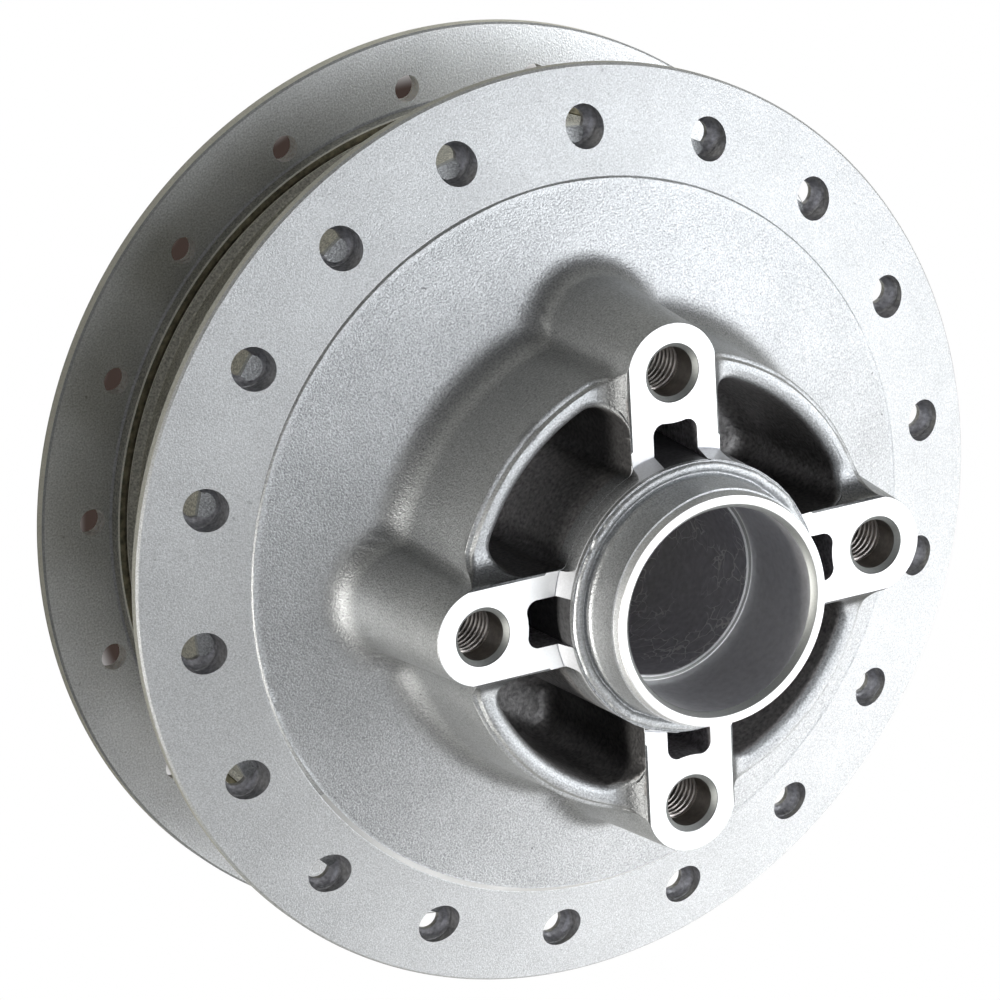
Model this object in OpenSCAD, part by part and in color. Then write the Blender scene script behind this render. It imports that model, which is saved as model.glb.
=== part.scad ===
// Rear wheel hub of a small motorcycle, cast in one piece.
// It stands on the mouth of its brake drum. The axle runs along Z, and Z = 0 is the mouth's rim.
// Heights of the sprocket side are measured from the plane of its spoke circle.

/* [Spoke flanges] */
// Distance from the barrel out to the sprocket side spoke circle
spoke_reach = 5.5; // [5:0.1:9]
// Distance from the barrel out to the drum side spoke circle
drum_spoke_reach = 6.1; // [5.5:0.1:9]
// Distance from the sprocket side spoke circle out to the rim of both flanges
rim_land = 10; // [6:0.5:16]
// Height from the drum side flange's inner face to the spoke circle of the sprocket side
flange_gap = 40; // [34:0.5:60]
// Slope of the sprocket side flange's outer face, in degrees
flange_slope = 18.9; // [8:0.1:22]
// Thickness of the sprocket side flange at its spoke circle
flange_t = 5.5; // [5.2:0.1:8]
// Thickness of the drum side flange
drum_flange_t = 2.7; // [2:0.1:5]
// Chamfer on the rims of both flanges
rim_chamfer = 0.35; // [0.1:0.05:0.6]
// Distance from the spoke circle in to the turned ring's inner edge
ring_land = 8.2; // [5:0.1:12]
// Depth of the turned ring below the cast face inside it
turned_step = 0.25; // [0.1:0.05:0.6]

/* [Spoke holes] */
// Spoke holes in each flange
spokes_per_flange = 18; // [9:1:20]
// Diameter of the recess that takes a spoke's head
spoke_head_d = 7.4; // [6:0.1:8.4]
// Depth of that recess below the spoke circle
spoke_head_depth = 3.2; // [1:0.1:3.6]
// Diameter at the foot of the recess's conical seat
spoke_seat_d = 5.7; // [5.4:0.1:5.9]
// Height of the conical seat
spoke_seat_h = 1; // [0.4:0.1:1.4]
// Diameter of the spoke bore in the sprocket side flange
spoke_bore_d = 4.6; // [3.5:0.1:5.2]
// Diameter of the spoke bore in the drum side flange
drum_spoke_bore_d = 4.7; // [3.5:0.1:6]
// Angle of the first spoke hole on the sprocket side, from a bolt arm
spoke_phase = 5; // [0:0.5:20]
// Angle of the first spoke hole on the drum side, from a bolt arm
drum_spoke_phase = 15; // [0:0.5:20]

/* [Brake drum] */
// Wall of the barrel round the braking surface
barrel_wall = 11; // [9:0.5:13]
// Width by which the turned collar at the barrel's foot stands out
collar_out = 2.5; // [1.5:0.1:2.9]
// Height of that collar
collar_h = 2.8; // [1:0.1:5]
// Height of the rough band above the collar
rough_band_h = 3; // [1:0.1:6]
// Width by which the rough band stands out from the barrel
rough_band_out = 1.3; // [0.3:0.1:1.4]
// Fillet between the barrel and the sprocket side flange
barrel_fillet = 4; // [1:0.5:6]
// Diameter of the braking surface
drum_d = 110; // [90:1:130]
// Depth of the drum below its mouth
drum_depth = 46.5; // [40:0.5:48]
// Fillet round the bottom of the drum
drum_fillet = 3; // [1:0.5:5]
// Wall of the lip round the drum's mouth
lip_wall = 7.5; // [5:0.5:8.5]
// Height by which the lip stands out past the drum side flange
lip_h = 5; // [2:0.5:12]
// Width of the step in the lip that the brake plate covers
lip_step_w = 3; // [1.5:0.1:4]
// Depth of that step
lip_step_h = 2.5; // [1:0.1:4]

/* [Cup] */
// Diameter of the cup at its rim
cup_d = 79.2; // [77:0.2:82]
// Draft of the cup's walls, in degrees
cup_draft = 3.5; // [1:0.5:5]
// Thickness of the cup's wall at its rim
cup_wall = 3.7; // [2.5:0.1:4.5]
// Height of the cup's rim above the spoke circle
cup_h = 32.6; // [28:0.2:34]
// Rounding on the cup's rim
rim_round = 1.2; // [0.5:0.1:1.2]
// Fillet between the cup and the flange
cup_fillet = 7.5; // [3:0.5:9]
// Height of the pockets' floor above the spoke circle
pocket_floor_h = 6; // [4:0.5:12]
// Rounding in the pockets' upright corners
pocket_corner = 4; // [2:0.5:4.5]
// Fillet round the pockets' floor
pocket_fillet = 3; // [1:0.5:4]

/* [Bolt arms] */
// Number of bolt arms
arm_count = 4; // [3:1:5]
// Diameter of the circle that the bolt holes lie on
bolt_circle_d = 76; // [74:0.5:78]
// Width of an arm, and diameter of its round end
arm_w = 17; // [15:0.5:18.5]
// Height of the faced pads above the spoke circle
pad_h = 36.8; // [36:0.2:39]
// Draft of the round columns under the pads, in degrees
column_draft = 4.5; // [1:0.5:5]
// Fillet between a column and the cup's wall
column_fillet = 4.5; // [2:0.5:6]
// Fillet between a column and the flange
column_foot_fillet = 5; // [2:0.5:6]
// Nominal diameter of the bolt thread
thread_d = 10; // [6:1:10]
// Diameter of the hole that the thread is cut in
thread_core_d = 8.5; // [5:0.1:8.6]
// Depth of that hole
thread_depth = 24; // [12:0.5:26]
// Width of the window between an arm's two ribs
window_w = 8.4; // [5:0.2:9]
// Land between a bolt hole's chamfer and the window
window_land = 3.6; // [2.5:0.1:5]
// Rounding in the window's corners
window_corner = 1.8; // [0.5:0.1:2.4]
// Height by which the window's outer edge swells inwards at its middle
window_swell = 0.35; // [0.1:0.05:0.6]
// Inner diameter of the facing cut on the pads
facing_d = 49.4; // [49:0.1:52]

/* [Centre tube] */
// Outer diameter of the tube's end
tube_d = 39.6; // [39:0.1:42]
// Height of the tube's end above the spoke circle
tube_h = 50; // [47:0.5:60]
// Height of the turned band at the tube's end
tube_band_h = 1.5; // [0.5:0.1:3]
// Taper of the cast wall below that band, in degrees
tube_taper = 7; // [2:0.5:8]
// Diameter of the rounded shoulder that the arms spring from
shoulder_d = 46.8; // [46.4:0.1:48]
// Height of the shoulder above the spoke circle
shoulder_h = 41.4; // [40:0.1:43]
// Rounding on the shoulder's edge
shoulder_round = 1.4; // [0.6:0.1:1.6]
// Fillet between the shoulder and the tube
neck_fillet = 1.3; // [0.5:0.1:1.6]
// Draft of the tube inside the pockets, in degrees
tube_draft = 2; // [0.5:0.5:3]

/* [Bearing seats] */
// Diameter of the bearing seats
bearing_d = 35; // [34.5:0.1:36]
// Depth of the sprocket side seat, which holds a bearing and a seal
seat_depth = 19.7; // [11:0.1:24]
// Depth of the drum side seat
drum_seat_depth = 12; // [9:0.5:16]
// Diameter of the bore between the seats
bore_d = 33; // [28:0.5:33.5]
// Chamfer at the mouth of each seat
seat_chamfer = 0.6; // [0.2:0.1:1]
// Diameter of the boss inside the drum
boss_d = 50; // [46:0.5:60]
// Depth of the boss's face below the drum's mouth
boss_recess = 14; // [8:0.5:20]
// Draft of the boss, in degrees
boss_draft = 2; // [0.5:0.5:4]
// Fillet round the foot of the boss
boss_fillet = 4; // [1:0.5:6]

/* [Hidden] */
$fn = 96;

// Smallest overlap that keeps joined solids and cuts clean
eps = 0.5;
// Largest turn between two points of a rounded corner
arc_step = 7.5;
// Height by which cuts run past the top of the hub
clear_h = 20;
// Slope at which a column's foot fillet runs into the flange, in degrees
foot_slope = 18;
// Share of that fillet's radius by which it starts inside the column
foot_inset = 0.15;
// Depth that the fillet's ring is sunk into the flange
foot_sink = 1.5;

drum_r = drum_d / 2;
barrel_r = drum_r + barrel_wall;
collar_r = barrel_r + collar_out;
rough_r = barrel_r + rough_band_out;
lip_r = drum_r + lip_wall;
spoke_r = barrel_r + spoke_reach;
drum_spoke_r = barrel_r + drum_spoke_reach;
ring_r = spoke_r - ring_land;
flange_r = spoke_r + rim_land;
bolt_r = bolt_circle_d / 2;
arm_half = arm_w / 2;
shoulder_r = shoulder_d / 2;
facing_r = facing_d / 2;

drum_flange_top = lip_h + drum_flange_t;
datum = drum_flange_top + flange_gap;
flange_under = datum - flange_t;
rim_z = datum + cup_h;
pad_z = datum + pad_h;
tube_z = datum + tube_h;
shoulder_z = datum + shoulder_h;
floor_z = datum + pocket_floor_h;
collar_z = drum_flange_top + collar_h;
rough_z = collar_z + rough_band_h;
// Height of the facing cut's cone, which ends on the shoulder's edge
facing_cone_h = shoulder_z - shoulder_round - pad_z;
window_end = bolt_r - thread_d / 2 - window_land;
chamfer_h = (thread_d - thread_core_d) / 2;

// Height of the cast cone's surface at a radius, and of the turned ring's
function ring_face(r) = datum + (spoke_r - r) * tan(flange_slope);
function cast_face(r) = ring_face(r) + turned_step;
// Radius of the cup's outer wall, of its inner wall and of the tube at a height
function cup_out(z) = cup_d / 2 + (rim_z - z) * tan(cup_draft);
function cup_in(z) = cup_d / 2 - cup_wall - (rim_z - z) * tan(cup_draft);
function tube_out(z) = shoulder_r + (shoulder_z - z) * tan(tube_draft);
// Radius of a bolt column at a height
function column_r(z) = arm_half + (pad_z - z) * tan(column_draft);
// Height at which the cup's wall line meets the cast cone
cup_foot_z = let (k = tan(flange_slope), d = tan(cup_draft))
    (cast_face(0) - k * (cup_d / 2 + rim_z * d)) / (1 - k * d);

function unit(v) = v / norm(v);
// Points of an arc of radius rad that rounds the corner b between a and c
function corner(a, b, c, rad) =
    rad <= 0 ? [b] :
    let (
        u = unit(a - b),
        v = unit(c - b),
        half = acos(u * v) / 2,
        reach = rad / tan(half),
        centre = b + unit(u + v) * rad / sin(half),
        start = b + u * reach - centre,
        end = b + v * reach - centre,
        turn = 180 - 2 * half,
        side = cross(start, end) > 0 ? 1 : -1,
        n = ceil(turn / arc_step)
    )
    [for (i = [0:n])
        let (t = side * turn * i / n)
        centre + [start.x * cos(t) - start.y * sin(t), start.x * sin(t) + start.y * cos(t)]];
// Outline through corners given as [x, y, radius], each rounded by its radius
function rounded(path) =
    let (n = len(path), p = [for (c = path) [c[0], c[1]]])
    [for (i = [0:n - 1])
        each corner(p[(i + n - 1) % n], p[i], p[(i + 1) % n], path[i][2])];

// Repeats its children once for each arm
module each_arm() {
    for (i = [0:arm_count - 1])
        rotate(i * 360 / arm_count) children();
}

// Flanges, barrel and cup as one turned outline
module flanges_and_cup() {
    rotate_extrude()
        polygon(rounded([
            [0, 0, 0],
            [lip_r, 0, rim_chamfer],
            [lip_r, lip_h, 1],
            [flange_r - rim_chamfer, lip_h, 0],
            [flange_r, lip_h + rim_chamfer, 0],
            [flange_r, drum_flange_top - rim_chamfer, 0],
            [flange_r - rim_chamfer, drum_flange_top, 0],
            [collar_r + rim_chamfer, drum_flange_top, 0],
            [collar_r, drum_flange_top + rim_chamfer, 0],
            [collar_r, collar_z, 0],
            [rough_r, collar_z, 0],
            [rough_r, rough_z - rough_band_out, 0],
            [barrel_r, rough_z, 0],
            [barrel_r, flange_under, barrel_fillet],
            [flange_r - rim_chamfer, flange_under, 0],
            [flange_r, flange_under + rim_chamfer, 0],
            [flange_r, ring_face(flange_r) - rim_chamfer, 0],
            [flange_r - rim_chamfer, ring_face(flange_r - rim_chamfer), 0],
            [ring_r, ring_face(ring_r), 0],
            [ring_r - turned_step, cast_face(ring_r - turned_step), 0],
            [cup_out(cup_foot_z), cup_foot_z, cup_fillet],
            [cup_out(rim_z), rim_z, rim_round],
            [0, rim_z, 0],
        ]));
}

// Tapered round column under each pad, with its fillets to the flange and to the cup's wall
module column() {
    foot = cast_face(bolt_r + arm_half) - eps;
    translate([bolt_r, 0, foot])
        cylinder(h = pad_z - foot, r1 = column_r(foot), r2 = arm_half);
    column_foot();
    for (side = [0, 1])
        mirror([0, side, 0]) column_web();
}

// Hollow fillet round a column's foot, turned about the normal of the flange's cone
module column_foot() {
    rad = column_foot_fillet;
    inner = column_r(cast_face(bolt_r)) - rad * foot_inset;
    last = 90 - flange_slope - column_draft;
    arc = [for (i = [0:8])
        let (t = foot_slope + (last - foot_slope) * i / 8)
        [inner + rad * (1 - sin(t)), rad * (1 - cos(t))]];
    reach = arc[0].y + foot_sink;
    translate([bolt_r, 0, cast_face(bolt_r)])
        rotate([0, flange_slope, 0])
            rotate_extrude()
                polygon(concat(
                    [[0, -foot_sink], [arc[0].x + reach / tan(foot_slope), -foot_sink]],
                    arc,
                    [[0, arc[8].y]]));
}

// Upright fillet in the corner between a column and the cup's wall, and its rise to the pad:
// a wedge less a drafted round, less the round that carries the cup's rim up to the arm
module column_web() {
    foot = cup_foot_z - eps;
    mid = (rim_z + foot) / 2;
    rise = pad_z - rim_z;
    slope = tan((cup_draft + column_draft) / 2);
    // Centre of the drafted round, at its radius outside both walls
    a = cup_out(mid) + column_fillet;
    b = column_r(mid) + column_fillet;
    turn = acos((a * a + bolt_r * bolt_r - b * b) / (2 * a * bolt_r));
    centre = a * [cos(turn), sin(turn)];
    wall_in = (cup_d / 2 - cup_wall) * unit(centre);
    difference() {
        translate([0, 0, foot])
            linear_extrude(pad_z - foot)
                polygon([centre, wall_in, [wall_in.x, 0], [bolt_r, 0]]);
        translate([centre.x, centre.y, foot - eps])
            cylinder(
                h = pad_z - foot + 2 * eps,
                r1 = column_fillet + (foot - eps - mid) * slope,
                r2 = column_fillet + (pad_z + eps - mid) * slope);
        translate([0, arm_half + rise, pad_z])
            rotate([0, 90, 0]) cylinder(h = flange_r, r = rise);
        translate([0, arm_half + rise, rim_z]) cube(flange_r);
    }
}

// Straight block of each arm, from the tube to its column
module arm() {
    translate([0, -arm_half, floor_z - eps])
        cube([bolt_r, arm_w, shoulder_z - floor_z]);
}

// Concave blend from the cup's rim up to an arm's side
module rim_saddle() {
    rise = pad_z - rim_z;
    inner = cup_d / 2 - cup_wall;
    intersection() {
        difference() {
            translate([0, arm_half - eps, rim_z - rim_round - eps])
                cube([bolt_r, rise + eps, rise + rim_round + eps]);
            translate([0, arm_half + rise, pad_z])
                rotate([0, 90, 0]) cylinder(h = flange_r, r = rise);
        }
        translate([0, 0, rim_z - 2 * rise])
            difference() {
                cylinder(h = 3 * rise, r = cup_d / 2 - rim_round / 2);
                translate([0, 0, -eps])
                    cylinder(h = 3 * rise + 2 * eps, r = inner + rim_round / 2);
            }
    }
}

// Upright rounding of a pocket's corner, between an arm's side and the cup's inner wall
module pocket_web() {
    mid = (rim_z + floor_z) / 2;
    foot = floor_z - eps;
    top = rim_z - rim_round;
    y = arm_half + pocket_corner;
    x = sqrt(pow(cup_in(mid) - pocket_corner, 2) - y * y);
    wall_in = (cup_d / 2 - cup_wall / 2) * unit([x, y]);
    difference() {
        translate([0, 0, foot])
            linear_extrude(top - foot)
                polygon([[x, y], [x, arm_half - eps], [wall_in.x, arm_half - eps], wall_in]);
        translate([x, y, foot - eps])
            cylinder(h = top - foot + 2 * eps, r = pocket_corner);
    }
}

// Centre tube with its turned end, taper, neck and rounded shoulder
module centre_tube() {
    neck_r = tube_d / 2 + (tube_z - tube_band_h - shoulder_z) * tan(tube_taper);
    neck_round = min(neck_fillet, shoulder_r - shoulder_round - neck_r - 0.05);
    rotate_extrude()
        polygon(rounded([
            [0, floor_z - eps, 0],
            [tube_out(floor_z), floor_z - eps, 0],
            [shoulder_r, shoulder_z, shoulder_round],
            [neck_r, shoulder_z, neck_round],
            [tube_d / 2 + rim_chamfer, tube_z - tube_band_h, 0],
            [tube_d / 2, tube_z - tube_band_h, 0],
            [tube_d / 2, tube_z, 0],
            [0, tube_z, 0],
        ]));
}

// Ring-shaped hollow between the centre tube and the cup, which the arms divide into pockets
module pocket_ring() {
    top = rim_z + clear_h;
    rotate_extrude()
        polygon(rounded([
            [bore_d / 2, floor_z, 0],
            [cup_in(floor_z), floor_z, pocket_fillet],
            [cup_in(rim_z - rim_round), rim_z - rim_round, rim_round],
            [cup_in(rim_z) + rim_round, rim_z + eps, 0],
            [cup_in(rim_z) + rim_round, top, 0],
            [bore_d / 2, top, 0],
        ]));
}

// Window between the two ribs of an arm, with rounded corners and a swelling outer edge
module window() {
    half = window_w / 2;
    start = tube_out(floor_z) - 1;
    swell_r = half * half / (2 * window_swell);
    translate([0, 0, floor_z])
        intersection() {
            linear_extrude(clear_h + pad_z - floor_z)
                difference() {
                    polygon(rounded([
                        [start, -half, 0],
                        [window_end + window_swell, -half, window_corner],
                        [window_end + window_swell, half, window_corner],
                        [start, half, 0],
                    ]));
                    translate([window_end + swell_r, 0]) circle(r = swell_r);
                }
            rotate_extrude()
                polygon([
                    [tube_out(floor_z), 0],
                    [bolt_r, 0],
                    [bolt_r, clear_h + pad_z],
                    [tube_out(shoulder_z), shoulder_z - floor_z],
                ]);
        }
}

// Cut that faces the pads flat and leaves a short cone at the arms' roots
module pad_facing() {
    rotate_extrude()
        polygon([
            [facing_r, pad_z],
            [flange_r, pad_z],
            [flange_r, tube_z + clear_h],
            [shoulder_r + eps, tube_z + clear_h],
            [shoulder_r + eps, pad_z + facing_cone_h + eps],
            [shoulder_r + 0.1, pad_z + facing_cone_h],
        ]);
}

// Threaded bolt hole with its chamfer, blind in the column
module bolt_hole() {
    translate([bolt_r, 0, pad_z - thread_depth])
        cylinder(h = thread_depth + eps, d = thread_core_d);
    translate([bolt_r, 0, pad_z - chamfer_h])
        cylinder(h = chamfer_h + eps, d1 = thread_core_d, d2 = thread_d + 2 * eps);
}

// Stepped spoke hole of the sprocket side flange
module spoke_hole() {
    seat_z = datum - spoke_head_depth;
    translate([spoke_r, 0, flange_under - eps])
        cylinder(h = flange_t + clear_h, d = spoke_bore_d);
    translate([spoke_r, 0, seat_z - spoke_seat_h])
        cylinder(h = spoke_seat_h, d1 = spoke_seat_d, d2 = spoke_head_d);
    translate([spoke_r, 0, seat_z])
        cylinder(h = clear_h, d = spoke_head_d);
}

// Plain spoke hole of the drum side flange
module drum_spoke_hole() {
    translate([drum_spoke_r, 0, lip_h - eps])
        cylinder(h = drum_flange_t + 2 * eps, d = drum_spoke_bore_d);
}

// Inside of the brake drum, round its central boss
module drum_space() {
    web_r = boss_d / 2 + (drum_depth - boss_recess) * tan(boss_draft);
    rotate_extrude()
        polygon(rounded([
            [0, -eps, 0],
            [drum_r + lip_step_w, -eps, 0],
            [drum_r + lip_step_w, lip_step_h, 0],
            [drum_r + 1, lip_step_h, 0],
            [drum_r, lip_step_h + 1, 0],
            [drum_r, drum_depth, drum_fillet],
            [web_r, drum_depth, boss_fillet],
            [boss_d / 2, boss_recess, 1],
            [0, boss_recess, 0],
        ]));
}

// Both bearing seats and the bore between them
module bearing_bores() {
    translate([0, 0, boss_recess - eps])
        cylinder(h = tube_z - boss_recess + 2 * eps, d = bore_d);
    translate([0, 0, tube_z - seat_depth])
        cylinder(h = seat_depth + eps, d = bearing_d);
    translate([0, 0, tube_z - seat_chamfer])
        cylinder(h = seat_chamfer + eps, d1 = bearing_d, d2 = bearing_d + 2 * (seat_chamfer + eps));
    translate([0, 0, boss_recess - eps])
        cylinder(h = drum_seat_depth + eps, d = bearing_d);
    translate([0, 0, boss_recess - eps])
        cylinder(h = seat_chamfer + eps, d1 = bearing_d + 2 * (seat_chamfer + eps), d2 = bearing_d);
}

// The whole hub, one casting with its machined faces and holes
module hub() {
    color("silver")
        difference() {
            union() {
                difference() {
                    flanges_and_cup();
                    pocket_ring();
                }
                centre_tube();
                each_arm() {
                    column();
                    arm();
                    for (side = [0, 1])
                        mirror([0, side, 0]) {
                            rim_saddle();
                            pocket_web();
                        }
                }
            }
            drum_space();
            bearing_bores();
            pad_facing();
            each_arm() {
                window();
                bolt_hole();
            }
            for (i = [0:spokes_per_flange - 1]) {
                rotate(spoke_phase + i * 360 / spokes_per_flange) spoke_hole();
                rotate(drum_spoke_phase + i * 360 / spokes_per_flange) drum_spoke_hole();
            }
        }
}

hub();
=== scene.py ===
import math
from types import SimpleNamespace

import bmesh
import bpy
import numpy as np
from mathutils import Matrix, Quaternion, Vector


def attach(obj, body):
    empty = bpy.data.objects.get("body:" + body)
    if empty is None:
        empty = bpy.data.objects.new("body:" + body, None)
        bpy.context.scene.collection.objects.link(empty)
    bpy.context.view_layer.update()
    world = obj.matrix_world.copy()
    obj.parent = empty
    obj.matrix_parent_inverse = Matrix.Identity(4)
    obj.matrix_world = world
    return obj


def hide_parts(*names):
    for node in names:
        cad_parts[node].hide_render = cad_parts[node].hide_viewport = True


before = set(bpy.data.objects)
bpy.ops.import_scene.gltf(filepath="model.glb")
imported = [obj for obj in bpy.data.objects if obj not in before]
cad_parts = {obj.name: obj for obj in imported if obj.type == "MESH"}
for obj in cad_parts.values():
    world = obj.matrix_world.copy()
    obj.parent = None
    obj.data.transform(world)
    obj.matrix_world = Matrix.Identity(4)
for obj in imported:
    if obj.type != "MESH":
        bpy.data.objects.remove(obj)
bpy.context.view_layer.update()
scene = bpy.context.scene
mm = 0.001
weldDistance = 1e-7  # metres; points closer than this become one
print("frame loaded")

# Camera: it looks down on the standing hub, rolled as the picture is
viewpoint = {
    "position": (-496.7, 348.9, 953.7),  # mm
    "aim": (-20.4, 13.6, 60.0),
    "roll": -117.4,  # degrees about the line of sight
    "lens": 228.9, "sensor": 36,
    "clip": (0.05, 20),  # metres
}


def makeCamera():
    data = bpy.data.cameras.new("camera")
    data.lens = viewpoint["lens"]
    data.sensor_width = viewpoint["sensor"]
    data.clip_start, data.clip_end = viewpoint["clip"]
    camera = bpy.data.objects.new("camera", data)
    scene.collection.objects.link(camera)
    position = Vector(viewpoint["position"]) * mm
    look = Vector(viewpoint["aim"]) * mm - position
    roll = Quaternion(look.normalized(), math.radians(viewpoint["roll"]))
    camera.rotation_mode = "QUATERNION"
    camera.location = position
    camera.rotation_quaternion = roll @ look.to_track_quat("-Z", "Y")
    scene.camera = camera
    print("camera placed")


makeCamera()


# Mesh making: every surface is a grid of points, with rows along its profile and columns
# round it, in mm

def gridQuads(rows, cols, closeRows):
    # Quads between neighbouring points; the columns always run right round
    i = np.arange(rows if closeRows else rows - 1)[:, None]
    j = np.arange(cols)[None, :]
    i2, j2 = (i + 1) % rows, (j + 1) % cols
    corners = (i * cols + j, i * cols + j2, i2 * cols + j2, i2 * cols + j)
    return np.stack([np.broadcast_to(c, (len(i), cols)) for c in corners], -1).reshape(-1, 4)


def meshObject(name, grid, closeRows=True, caps=False):
    # Rows by columns by xyz; caps closes the first and last row with a face
    rows, cols = grid.shape[:2]
    points = grid.reshape(-1, 3) * mm
    quads = gridQuads(rows, cols, closeRows)
    loops, totals = quads.ravel(), np.full(len(quads), 4)
    if caps:
        ends = np.concatenate([np.arange(cols)[::-1], (rows - 1) * cols + np.arange(cols)])
        loops, totals = np.concatenate([loops, ends]), np.concatenate([totals, [cols, cols]])
    mesh = bpy.data.meshes.new(name)
    mesh.vertices.add(len(points))
    mesh.vertices.foreach_set("co", points.ravel())
    mesh.loops.add(len(loops))
    mesh.loops.foreach_set("vertex_index", loops.astype(np.int32))
    mesh.polygons.add(len(totals))
    mesh.polygons.foreach_set("loop_start", (np.cumsum(totals) - totals).astype(np.int32))
    mesh.polygons.foreach_set("loop_total", totals.astype(np.int32))
    mesh.update(calc_edges=True)
    tool = bmesh.new()
    tool.from_mesh(mesh)
    bmesh.ops.remove_doubles(tool, verts=tool.verts, dist=weldDistance)
    bmesh.ops.recalc_face_normals(tool, faces=tool.faces)
    tool.to_mesh(mesh)
    tool.free()
    piece = bpy.data.objects.new(name, mesh)
    scene.collection.objects.link(piece)
    return piece


def revolved(name, profile, angles):
    # A profile of (radius, height) pairs carried round the axle
    profile = np.asarray(profile, float)
    a = np.radians(angles)[None, :]
    r, z = profile[:, 0:1], profile[:, 1:2]
    grid = np.stack([r * np.cos(a), r * np.sin(a), z + 0 * a], -1)
    return meshObject(name, grid)


def roundCorner(before, corner, after, radius, steps=8):
    # Points of the arc that rounds a corner between two straight runs
    before, corner, after = (np.array(p, float) for p in (before, corner, after))
    u, v = before - corner, after - corner
    u, v = u / np.linalg.norm(u), v / np.linalg.norm(v)
    half = math.acos(np.clip(u @ v, -1, 1)) / 2
    centre = corner + (u + v) / np.linalg.norm(u + v) * radius / math.sin(half)
    first = corner + u * radius / math.tan(half) - centre
    last = corner + v * radius / math.tan(half) - centre
    a0, a1 = math.atan2(first[1], first[0]), math.atan2(last[1], last[0])
    a1 = a0 + (a1 - a0 + math.pi) % (2 * math.pi) - math.pi
    a = np.linspace(a0, a1, steps + 1)
    return (centre + radius * np.stack([np.cos(a), np.sin(a)], -1)).tolist()


def outline(corners):
    # Closed profile through corners of (radius, height, rounding), each rounded
    points = []
    n = len(corners)
    for i, (r, z, rounding) in enumerate(corners):
        if rounding:
            points += roundCorner(corners[i - 1][:2], (r, z), corners[(i + 1) % n][:2], rounding)
        else:
            points.append([r, z])
    return points


def onCircle(radius, turn):
    return radius * math.cos(turn), radius * math.sin(turn)


def turned(grid, turn):
    # The same points, turned about the axle
    c, s = math.cos(turn), math.sin(turn)
    x, y, z = np.moveaxis(grid, -1, 0)
    return np.stack([x * c - y * s, x * s + y * c, z], -1)


def cylinderCutter(name, centre, steps, sides=48):
    # Turned cutter from (radius, height) steps, standing at a point in plan
    a = np.radians(np.arange(sides) * 360 / sides)[None, :]
    steps = np.asarray(steps, float)
    r, z = steps[:, 0:1], steps[:, 1:2]
    grid = np.stack([centre[0] + r * np.cos(a), centre[1] + r * np.sin(a), z + 0 * a], -1)
    return meshObject(name, grid, closeRows=False, caps=True)


def holeCutters(name, size, radius, steps):
    # One turned cutter for each hole of a circle of holes
    turns = [math.radians(size["phase"] + k * 360 / size["count"]) for k in range(size["count"])]
    return [cylinderCutter(name, onCircle(radius, turn), steps) for turn in turns]


def cutAway(piece, cutters):
    # Takes the cutters' joined volume out of the piece
    bpy.ops.object.select_all(action="DESELECT")
    for cutter in cutters:
        cutter.select_set(True)
    bpy.context.view_layer.objects.active = cutters[0]
    bpy.ops.object.join()
    tool = piece.modifiers.new("cut", "BOOLEAN")
    tool.object, tool.operation, tool.solver = cutters[0], "DIFFERENCE", "MANIFOLD"
    graph = bpy.context.evaluated_depsgraph_get()
    whole = piece.data
    piece.data = bpy.data.meshes.new_from_object(piece.evaluated_get(graph))
    piece.data.name = piece.name
    piece.modifiers.clear()
    bpy.data.meshes.remove(whole)
    bpy.data.objects.remove(cutters[0])
    print(piece.name, "cut,", len(piece.data.polygons), "faces")


# The casting's sprocket side: cone, cup, columns, arms and centre tube
hubSizes = {
    "pitchR": 71.5, "pitchZ": 47.7,   # spoke circle on the turned face
    "slope": 18.9,                    # of the flange's face, degrees
    "ringR": 63.3, "step": 0.25,      # inner edge of the turned ring, and its depth
    "cupR": 39.6, "cupDraft": 3.5, "cupWall": 3.7,
    "rimZ": 80.3, "rimRound": 1.7, "rimInside": 1.9,
    "boltR": 38.0, "columnR": 8.5, "columnDraft": 4.5, "padZ": 84.5,
    "cornerRound": 2.8,               # upright fillet between column and cup
    "cornerLoss": 0.2,                # what it loses per mm outside the wall
    "cornerLeast": 2.2,
    "saddleHollow": 0.55,             # share of a quarter round in the slope beside a pad
    "saddleFade": 2.2,                # from a pad's side to the rim's full rounding
    "cupFoot": 7.5, "columnFoot": 6.0,
    "facingR": 24.7, "facingTopR": 23.45, "facingTopZ": 87.7,
    "lipR": 23.4,                     # tube's wall in the pockets
    "shoulderZ": 89.1,
    "bandR": 19.8, "bandFootR": 20.1, "bandZ": 96.2, "endZ": 97.7,
    "seatR": 17.5, "seatZ": 78.0, "boreR": 16.5,
    "joinR": 20.0, "joinZ": 77.0,     # where the drum side's core ends inside the tube
    "holeR": 5.0, "holeMouthR": 5.1, "holeFloorZ": 60.5,
    "floorZ": 53.7, "tubeDraft": 2.0,  # of the pockets
    "clearZ": 100,                    # above everything, for cutters
    "edge": 0.15,                     # break on machined edges
}
hub = SimpleNamespace(**hubSizes)
armTurns = [k * math.pi / 2 for k in range(4)]
halfSector = math.pi / 4  # from an arm's middle to halfway to the next


def smooth(x):
    x = np.clip(x, 0, 1)
    return x * x * (3 - 2 * x)


def tangent(angle):
    return math.tan(math.radians(angle))


def ringZ(r):
    # Height of the turned ring's face at a radius
    return hub.pitchZ + (hub.pitchR - r) * tangent(hub.slope)


def castZ(r):
    # Height of the cast cone, one step above it
    return ringZ(r) + hub.step


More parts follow.
